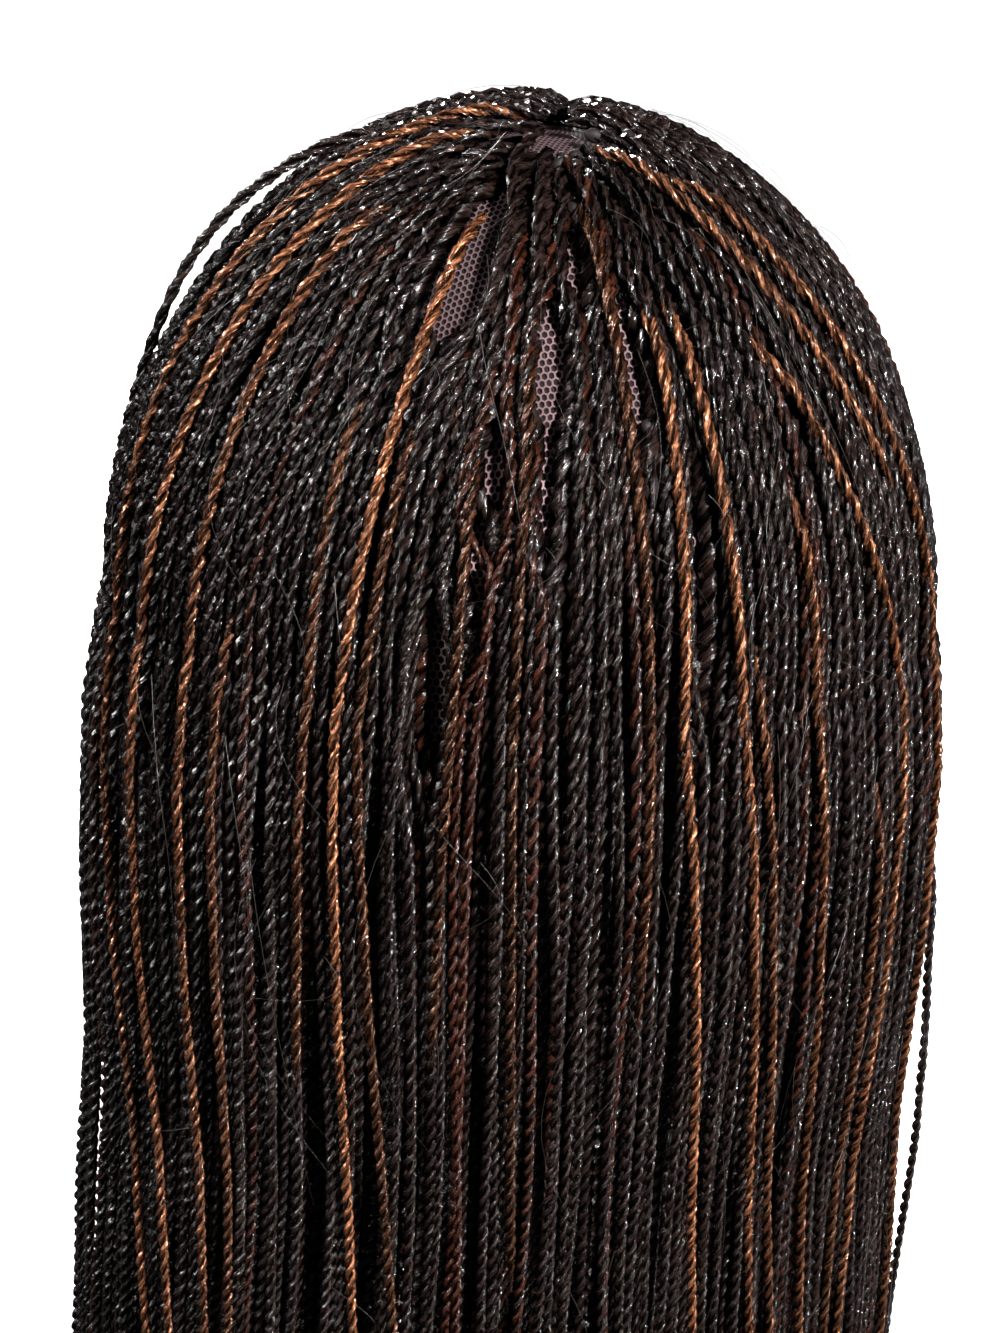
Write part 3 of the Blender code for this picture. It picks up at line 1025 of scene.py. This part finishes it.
def rim_bend(angle):
    """How far down from the crown the cap's rim lies at these angles."""
    below = CAP_OUTSIDE.crown - cap_rim_height(angle)
    arc = np.arccos(np.clip(1 - below / CAP_OUTSIDE.depth, 0, 1))
    skirt = np.maximum(0, below - CAP_OUTSIDE.depth) / CAP_OUTSIDE.depth
    return arc + skirt


def shade_shell_rings(inset):
    """Rings of points down the cap, this far inside its outer face."""
    angle = np.linspace(0, math.tau, SHADE_SHELL_SPOKES, endpoint=False)
    middle = np.array([0, 0, CAP_OUTSIDE.crown - CAP_OUTSIDE.depth])
    rings = []
    for hoop in range(1, SHADE_SHELL_HOOPS + 1):
        points = cap_points(angle, rim_bend(angle) * hoop / SHADE_SHELL_HOOPS)
        inwards = points - middle
        inwards[:, 2] = np.maximum(inwards[:, 2], 0)
        inwards /= np.linalg.norm(inwards, axis=1)[:, None]
        rings.append(points - inwards * inset)
    return rings


def cap_shade_shell():
    """Painted shade under the net: a thin, closed, near-black shell that shows through the
    net's holes.
    """
    mesh = bmesh.new()
    edges = []
    for inset in (SHADE_SHELL_OUTER, CAP_WALL):
        top = mesh.verts.new((0, 0, CAP_OUTSIDE.crown - inset))
        grid = [[mesh.verts.new(point) for point in ring] for ring in shade_shell_rings(inset)]
        for spoke in range(SHADE_SHELL_SPOKES):
            after = (spoke + 1) % SHADE_SHELL_SPOKES
            mesh.faces.new((top, grid[0][spoke], grid[0][after]))
            for upper, lower in zip(grid, grid[1:]):
                mesh.faces.new((upper[spoke], lower[spoke], lower[after], upper[after]))
        edges.append(grid[-1])
    outer, inner = edges
    for spoke in range(SHADE_SHELL_SPOKES):
        after = (spoke + 1) % SHADE_SHELL_SPOKES
        mesh.faces.new((outer[after], inner[after], inner[spoke], outer[spoke]))
    bmesh.ops.recalc_face_normals(mesh, faces=mesh.faces)
    data = bpy.data.meshes.new("shade_shell")
    mesh.to_mesh(data)
    mesh.free()
    data.materials.append(material_named("cap_shade_shell"))
    data.shade_smooth()
    shade_shell = bpy.data.objects.new("shade_shell", data)
    bpy.context.scene.collection.objects.link(shade_shell)
    return shade_shell


def cap_rim():
    """The bound edge of the cap."""
    angle = np.linspace(0, math.tau, SHADE_SHELL_SPOKES * 2, endpoint=False)
    points = cap_points(angle, rim_bend(angle))
    ids = np.arange(len(angle))
    columns = {"place": points, "girth": np.full(len(angle), RIM_RADIUS),
               "twist": np.zeros(len(angle))}
    guide = line_mesh(columns, np.stack([ids, (ids + 1) % len(angle)], axis=1))
    return grow_braids("rim", guide, 1.0, 1.0, SINGLE_SIDES, "net_thread")


class WIG_OT_black_braids(bpy.types.Operator):
    """Make the black braids, one piece for each lock"""

    bl_idname = "wig.black_braids"
    bl_label = "Black braids"

    def execute(self, context):
        sizes = context.scene.wig_sizes
        rng = np.random.default_rng(SEED)
        room = ROOT_ROOM * 2 * sizes.braid_radius
        plans = [(layer, planned_layer(rng, layer, room)) for layer in LAYERS]
        roots = []
        for number, lock in enumerate(LOCKS):
            made = []
            for layer, plan in plans:
                own = slice(number * layer.per_lock, (number + 1) * layer.per_lock)
                turns, starts, ends = (values[own] for values in plan)
                part = f"{lock}_{len(made)}"
                braids, places = lock_layer(rng, sizes, layer, lock, part, turns, starts, ends)
                made.append(braids)
                if layer is OUTER:
                    roots.append(places[starts > SEAM_COURSE, 1])
            piece = joined(made, lock.replace("braid_lock", "braids"))
            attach(piece, "root")
            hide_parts(lock)
        guide = line_mesh({"place": np.concatenate(roots)}, np.zeros((0, 2)))
        knots = grow_shape("root_knots", guide, shape_tree("knot"),
                           {"Size": sizes.braid_radius,
                            "Material": material_named("knot_fibre")})
        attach(knots, "root")
        return {"FINISHED"}


def lock_layer(rng, sizes, layer, lock, name, turns, starts, ends):
    """The braids of one layer of a lock, and the points that they run through."""
    count = layer.per_lock
    end_z = np.full(count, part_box(lock)[0][2])
    places, courses = lay_braids(rng, layer, turns, starts, ends, sizes.braid_radius, end_z)
    girths = sizes.braid_radius * layer.girth * rng.uniform(*GIRTH_SPREAD, count)
    guide = twisted_guides(sizes, places, courses, layer.rings, girths,
                           rng.uniform(0, math.tau, count), rng.uniform(0, 1, count),
                           rng.uniform(0, 1, count))
    braids = grow_braids(name, guide, sizes.waist * layer.waist, sizes.lobe_width,
                         layer.sides, "black_braid_fibre")
    return braids, places


def joined(pieces, name):
    """Several mesh objects as one."""
    for piece in bpy.context.selected_objects:
        piece.select_set(False)
    for piece in pieces:
        piece.select_set(True)
    bpy.context.view_layer.objects.active = pieces[0]
    if len(pieces) > 1:
        bpy.ops.object.join()
    pieces[0].name = name
    pieces[0].data.name = name
    return pieces[0]


def strand_guide(sizes, strand, rng):
    """Guide line of one single braid that lies on the locks."""
    start, end = strand.start, strand.end
    course = np.linspace(start, end, PATH_SAMPLES)[None, :]
    degrees = np.where(course <= 1, mix(strand.root_turn, strand.drape_turn, course),
                       mix(strand.drape_turn, strand.tip_turn, course - 1))
    turn = np.radians(degrees) + wander(rng, 1, course, STRAND_WANDER, STRAND_WAVES)
    stand_off = strand.lift * np.exp(-((course - strand.lift_at) / LIFT_REACH) ** 2)
    sunk = STRAND_ROOT_DROP * np.exp(-((course - start) / STRAND_RISE) ** 2)
    lift = RIB_HEIGHT + sizes.braid_radius * STRAND_SEAT + stand_off - sunk
    places = over_points(turn, course, lift)
    girths = np.array([sizes.braid_radius])
    return twisted_guides(sizes, places, course, OUTER.rings, girths,
                          rng.uniform(0, math.tau, 1), np.array([strand.glow]),
                          rng.uniform(0, 1, 1))


def make_strands(sizes, strands, finish, seed):
    """One piece for each single braid, in place of its node."""
    rng = np.random.default_rng(seed)
    for strand in strands:
        guide = strand_guide(sizes, strand, rng)
        piece = grow_braids("twisted_" + strand.node, guide, sizes.waist, sizes.lobe_width,
                            SINGLE_SIDES, finish)
        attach(piece, "root")
        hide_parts(strand.node)


class WIG_OT_copper_braids(bpy.types.Operator):
    """Make the copper braids that lie on the black ones"""

    bl_idname = "wig.copper_braids"
    bl_label = "Copper braids"

    def execute(self, context):
        make_strands(context.scene.wig_sizes, COPPER_STRANDS, "copper_braid_fibre",
                     SEED + 10)
        return {"FINISHED"}


class WIG_OT_loose_braids(bpy.types.Operator):
    """Make the two black braids that stand a little off the rest"""

    bl_idname = "wig.loose_braids"
    bl_label = "Loose braids"

    def execute(self, context):
        make_strands(context.scene.wig_sizes, LOOSE_STRANDS, "black_braid_fibre",
                     SEED + 20)
        return {"FINISHED"}


class WIG_OT_stray_hairs(bpy.types.Operator):
    """Make the fine fibres that stand off the braids"""

    bl_idname = "wig.stray_hairs"
    bl_label = "Stray hairs"

    def execute(self, context):
        count = context.scene.wig_sizes.stray_hairs
        rng = np.random.default_rng(SEED + 30)
        share = np.linspace(0, 1, STRAY_POINTS)
        turn = rng.uniform(-LAST_TURN, LAST_TURN, count)
        course = rng.uniform(*STRAY_COURSES, count)
        length = rng.uniform(*STRAY_LENGTH, count) * rng.uniform(*STRAY_SHORTENED, count)
        bend = rng.uniform(-1, 1, count) * STRAY_BEND
        bow = rng.uniform(-1, 1, count) * STRAY_BOW
        arch = rng.uniform(*STRAY_ARCH, count)
        along = course[:, None] + length[:, None] * share
        across = turn[:, None] + bend[:, None] * share ** 2
        across = across + bow[:, None] * np.sin(math.pi * share)
        lift = RIB_HEIGHT + arch[:, None] * np.sin(math.pi * mix(STRAY_ARCH_FROM, 1, share))
        places = over_points(across, np.minimum(along, STRAY_LAST_COURSE), lift)
        girth = np.tile(STRAY_RADIUS * mix(1, STRAY_TIP_THIN, share), (count, 1))
        ids = np.arange(count * STRAY_POINTS).reshape(count, STRAY_POINTS)
        edges = np.stack([ids[:, :-1].ravel(), ids[:, 1:].ravel()], axis=1)
        guide = line_mesh({"place": places.reshape(-1, 3), "girth": girth.ravel()}, edges)
        strays = grow_shape("stray_hairs", guide, shape_tree("fibre"),
                            {"Material": material_named("stray_fibre")})
        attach(strays, "root")
        return {"FINISHED"}


class WIG_OT_stage(bpy.types.Operator):
    """Make the floor, the lights and the camera"""

    bl_idname = "wig.stage"
    bl_label = "Stage"

    def execute(self, context):
        floor_mesh = backdrop_mesh(CAD_BOX[0][2] - FLOOR_DROP)
        pale = plain_material("pale_floor", *FLOOR_FINISH)
        feed(pale.node_tree, pale.node_tree.nodes["Principled BSDF"],
             {"Emission Color": (1.0, 1.0, 1.0, 1.0), "Emission Strength": FLOOR_GLOW})
        floor_mesh.materials.append(pale)
        floor = bpy.data.objects.new("floor", floor_mesh)
        context.scene.collection.objects.link(floor)
        floor.visible_diffuse = False
        floor.visible_glossy = False
        floor.visible_shadow = False
        for lamp in LAMPS:
            add_area_light(*lamp)
        world = bpy.data.worlds.new("studio")
        world.use_nodes = True
        feed(world.node_tree, world.node_tree.nodes["Background"],
             {"Color": STUDIO_COLOUR, "Strength": STUDIO_STRENGTH})
        context.scene.world = world
        context.scene.view_settings.view_transform = "Standard"
        add_camera(context.scene)
        return {"FINISHED"}


def backdrop_mesh(level):
    """A round floor at this height that curves up into a wall."""
    angle = np.linspace(0, math.tau, BACKDROP_SPOKES, endpoint=False)
    points = [(0, 0, level)]
    for radius, height in BACKDROP_CURVE:
        points += [(radius * math.cos(turn), radius * math.sin(turn), level + height)
                   for turn in angle]
    faces = []
    for spoke in range(BACKDROP_SPOKES):
        after = (spoke + 1) % BACKDROP_SPOKES
        faces.append((0, 1 + spoke, 1 + after))
        for hoop in range(len(BACKDROP_CURVE) - 1):
            inner = 1 + hoop * BACKDROP_SPOKES
            outer = inner + BACKDROP_SPOKES
            faces.append((inner + spoke, outer + spoke, outer + after, inner + after))
    mesh = bpy.data.meshes.new("floor")
    mesh.from_pydata(points, [], faces)
    mesh.shade_smooth()
    return mesh


def add_area_light(name, place, size, power):
    """A square soft light aimed at the middle of the wig."""
    light = bpy.data.lights.new(name, "AREA")
    light.size = size
    light.energy = power
    lamp = bpy.data.objects.new(name, light)
    lamp.location = place
    aim = CAMERA_TARGET - Vector(place)
    lamp.rotation_euler = aim.to_track_quat("-Z", "Y").to_euler()
    bpy.context.scene.collection.objects.link(lamp)


def add_camera(scene):
    """The photo's camera, rolled as the photo is."""
    data = bpy.data.cameras.new("photo_view")
    data.sensor_width = SENSOR
    focal_pixels = CAMERA_DISTANCE / METRES_PER_PIXEL
    data.lens = SENSOR * focal_pixels / PHOTO_HEIGHT
    data.clip_end = CLIP_END
    camera = bpy.data.objects.new("photo_view", data)
    back = Vector((0, math.cos(CAMERA_ELEVATION), math.sin(CAMERA_ELEVATION)))
    level_right = Vector((-1, 0, 0))
    level_up = back.cross(level_right)
    right = level_right * math.cos(CAMERA_ROLL) + level_up * math.sin(CAMERA_ROLL)
    up = level_up * math.cos(CAMERA_ROLL) - level_right * math.sin(CAMERA_ROLL)
    matrix = Matrix((right, up, back)).transposed().to_4x4()
    matrix.translation = CAMERA_TARGET + back * CAMERA_DISTANCE
    camera.matrix_world = matrix
    scene.collection.objects.link(camera)
    scene.camera = camera


class WIG_PT_panel(bpy.types.Panel):
    """Lists the wig's operators and values"""

    bl_label = "Braid wig"
    bl_idname = "WIG_PT_panel"
    bl_space_type = "VIEW_3D"
    bl_region_type = "UI"
    bl_category = "Wig"

    def draw(self, context):
        layout = self.layout
        for group in (context.scene.wig_sizes, context.scene.wig_colours):
            for name in group.__annotations__:
                layout.prop(group, name)
        for operator in OPERATORS:
            layout.operator(operator.bl_idname)


OPERATORS = (
    WIG_OT_stage,
    WIG_OT_net_cap,
    WIG_OT_black_braids,
    WIG_OT_copper_braids,
    WIG_OT_loose_braids,
    WIG_OT_stray_hairs,
)
CLASSES = (WigSizes, WigColours, *OPERATORS, WIG_PT_panel)


def register():
    """Make the add-on's classes and values known to Blender."""
    for item in CLASSES:
        bpy.utils.register_class(item)
    bpy.types.Scene.wig_sizes = PointerProperty(type=WigSizes)
    bpy.types.Scene.wig_colours = PointerProperty(type=WigColours)


def unregister():
    """Take the add-on's classes and values out of Blender."""
    del bpy.types.Scene.wig_colours
    del bpy.types.Scene.wig_sizes
    for item in reversed(CLASSES):
        bpy.utils.unregister_class(item)


def main():
    """Build the wig."""
    register()
    bpy.ops.wig.stage()
    bpy.ops.wig.net_cap()
    bpy.ops.wig.black_braids()
    bpy.ops.wig.copper_braids()
    bpy.ops.wig.loose_braids()
    bpy.ops.wig.stray_hairs()


if __name__ == "__main__":
    main()
